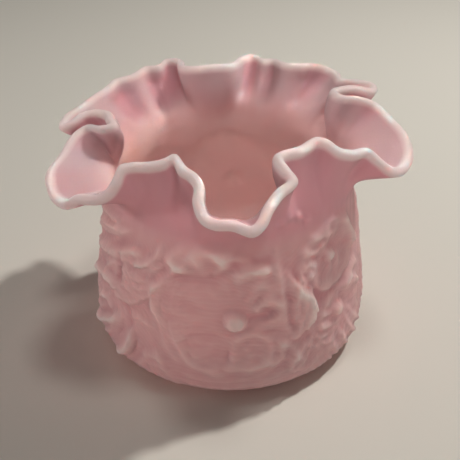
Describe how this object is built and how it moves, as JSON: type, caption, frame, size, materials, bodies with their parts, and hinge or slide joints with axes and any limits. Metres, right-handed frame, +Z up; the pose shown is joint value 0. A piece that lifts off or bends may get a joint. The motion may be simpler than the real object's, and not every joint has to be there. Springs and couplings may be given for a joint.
{
  "type": "glass vase",
  "caption": "Wide-mouthed satin glass vase with a crimped, flared rim and poppies and leaves in relief round the body.",
  "frame": {"origin": "centre of the flat underside, where the vase rests", "axes": "+Z up through the mouth; -Y toward the front, where the large open poppy and the lowest dip of the rim are; +X to the right seen from the front"},
  "size_m": [0.1769, 0.1707, 0.1278],
  "materials": {
    "satin_glass": "acid-etched satin, translucent pink, not see-through"
  },
  "bodies": {
    "root": {"glass_vase": "satin_glass"}
  },
  "joints": []
}
